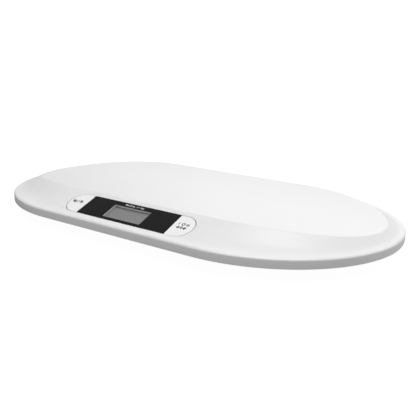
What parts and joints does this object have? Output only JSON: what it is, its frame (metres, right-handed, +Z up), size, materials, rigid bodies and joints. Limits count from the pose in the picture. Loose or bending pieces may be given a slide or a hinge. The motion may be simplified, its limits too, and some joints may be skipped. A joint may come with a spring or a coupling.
{
  "type": "tray scale",
  "caption": "Flat oval electronic weighing scale with a shallow trough tray, a tilted display window between two push keys, load-cell feet and a battery door underneath.",
  "frame": {"origin": "on the floor under the middle of the tray, at the underside of the rubber foot pads", "axes": "+X along the tray's long side, -Y towards the user and the display, +Z up"},
  "size_m": [0.55, 0.33, 0.0452],
  "materials": {
    "shell_white": "satin gloss moulded ABS",
    "key_white": "satin moulded ABS",
    "base_white": "fine texture moulded ABS",
    "frame_grey": "satin",
    "window_black": "gloss printed film",
    "lcd_grey": "smooth reflective LCD",
    "board_green": "solder mask",
    "black_plastic": "matt",
    "rubber_grey": "matt rubber",
    "steel": "zinc plated",
    "contact_metal": "nickel plated spring steel",
    "battery_jacket": "printed film",
    "wire_red": "PVC insulation",
    "wire_black": "PVC insulation",
    "gauge_epoxy": "potting resin",
    "wire_grey": "PVC insulation"
  },
  "bodies": {
    "casing": {"top_shell": "shell_white", "base_cover": "base_white", "display_overlay": "window_black", "display_frame": "frame_grey", "lcd_glass": "lcd_grey", "lcd_holder": "frame_grey", "zebra_strip": "rubber_grey", "main_board": "board_green", "controller_chip": "black_plastic", "unit_switch": "black_plastic", "power_switch": "black_plastic", "board_screw_1": "steel", "board_screw_2": "steel", "board_screw_3": "steel", "board_screw_4": "steel", "base_screw_1": "steel", "base_screw_2": "steel", "base_screw_3": "steel", "base_screw_4": "steel", "base_screw_5": "steel", "base_screw_6": "steel", "cell_lead_front_left": "wire_grey", "cell_lead_front_right": "wire_grey", "cell_lead_rear_left": "wire_grey", "cell_lead_rear_right": "wire_grey", "battery_1": "battery_jacket", "battery_2": "battery_jacket", "battery_3": "battery_jacket", "contact_positive": "contact_metal", "contact_negative": "contact_metal", "contact_bridge_front": "contact_metal", "contact_bridge_rear": "contact_metal", "battery_lead_positive": "wire_red", "battery_lead_negative": "wire_black"},
    "unit_key": {"unit_button": "key_white", "unit_plunger": "rubber_grey"},
    "power_key": {"power_button": "key_white", "power_plunger": "rubber_grey"},
    "door": {"battery_door": "base_white"},
    "foot_front_left": {"foot_cap_front_left": "base_white", "foot_pad_front_left": "rubber_grey", "load_cell_front_left": "steel", "strain_gauge_front_left": "gauge_epoxy"},
    "foot_front_right": {"foot_cap_front_right": "base_white", "foot_pad_front_right": "rubber_grey", "load_cell_front_right": "steel", "strain_gauge_front_right": "gauge_epoxy"},
    "foot_rear_left": {"foot_cap_rear_left": "base_white", "foot_pad_rear_left": "rubber_grey", "load_cell_rear_left": "steel", "strain_gauge_rear_left": "gauge_epoxy"},
    "foot_rear_right": {"foot_cap_rear_right": "base_white", "foot_pad_rear_right": "rubber_grey", "load_cell_rear_right": "steel", "strain_gauge_rear_right": "gauge_epoxy"}
  },
  "joints": [
    {"name": "unit_key_press", "type": "slide", "parent": "casing", "child": "unit_key", "axis": [0, 0.3762, -0.9265], "range_m": [0, 0.0006], "stiffness_N_per_m": 4000},
    {"name": "power_key_press", "type": "slide", "parent": "casing", "child": "power_key", "axis": [0, 0.3762, -0.9265], "range_m": [0, 0.0006], "stiffness_N_per_m": 4000},
    {"name": "battery_door_swing", "type": "hinge", "parent": "casing", "child": "door", "pos_m": [0, 0.065, 0.005], "axis": [1, 0, 0], "range_deg": [0, 90]},
    {"name": "foot_front_left_lift", "type": "slide", "parent": "casing", "child": "foot_front_left", "axis": [0, 0, 1], "range_m": [0, 0.0008], "stiffness_N_per_m": 60000},
    {"name": "foot_front_right_lift", "type": "slide", "parent": "casing", "child": "foot_front_right", "axis": [0, 0, 1], "range_m": [0, 0.0008], "stiffness_N_per_m": 60000},
    {"name": "foot_rear_left_lift", "type": "slide", "parent": "casing", "child": "foot_rear_left", "axis": [0, 0, 1], "range_m": [0, 0.0008], "stiffness_N_per_m": 60000},
    {"name": "foot_rear_right_lift", "type": "slide", "parent": "casing", "child": "foot_rear_right", "axis": [0, 0, 1], "range_m": [0, 0.0008], "stiffness_N_per_m": 60000}
  ]
}
